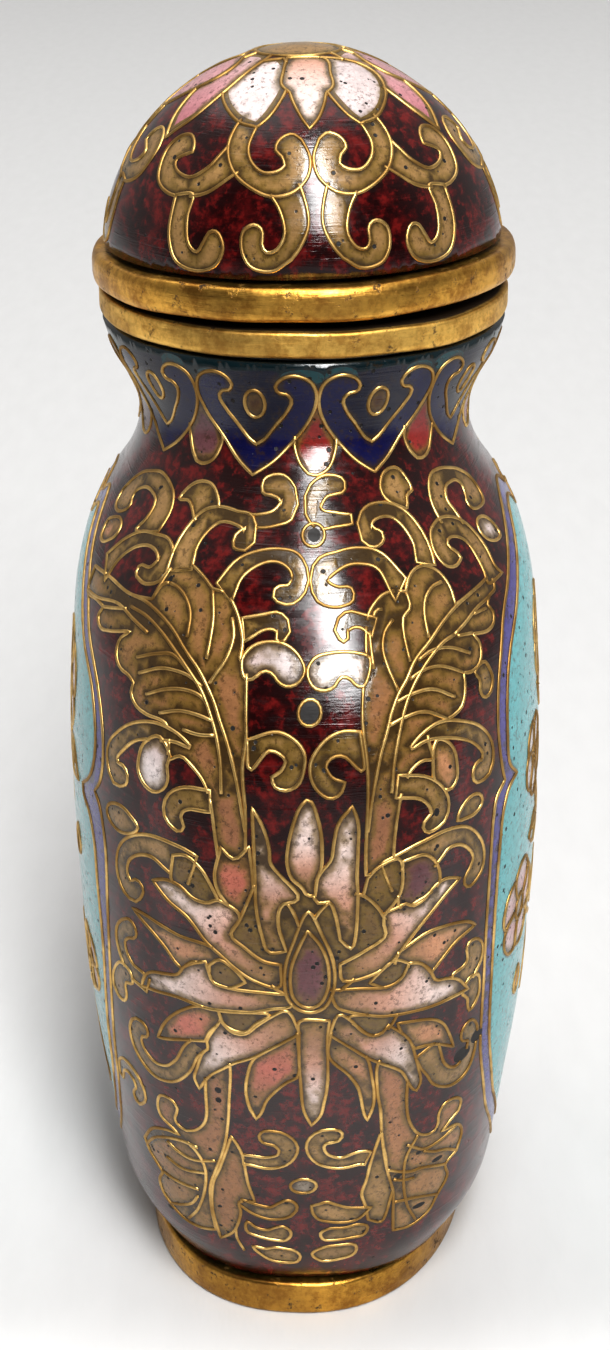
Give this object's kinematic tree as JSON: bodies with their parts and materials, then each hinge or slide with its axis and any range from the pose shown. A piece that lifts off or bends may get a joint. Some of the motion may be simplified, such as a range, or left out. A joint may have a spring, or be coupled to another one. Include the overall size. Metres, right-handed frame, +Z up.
{
  "type": "cloisonne enamel snuff bottle with a domed lid",
  "caption": "Flattened oval snuff bottle in cloisonne enamel on copper, hollow, with a waisted neck, gilt foot, collar and rim, and a domed lid that lifts off.",
  "frame": {"origin": "middle of the bottle's footprint, on the plane that the foot stands on", "axes": "+Z up; X across the broad faces with the panels; Y through the thickness. The pictured narrow side faces +X"},
  "size_m": [0.044, 0.0284, 0.0738],
  "materials": {
    "enamel": "polished cloisonne enamel, dark red ground with tan, pink and turquoise cells and gilt wires, lightly pitted",
    "gilt": "worn gilding on copper alloy, scratched and darkened in places"
  },
  "bodies": {
    "root": {"bottle_body": "enamel", "neck_collar": "gilt", "foot_ring": "gilt", "lid_rim": "gilt", "lid_dome": "enamel"}
  },
  "joints": []
}
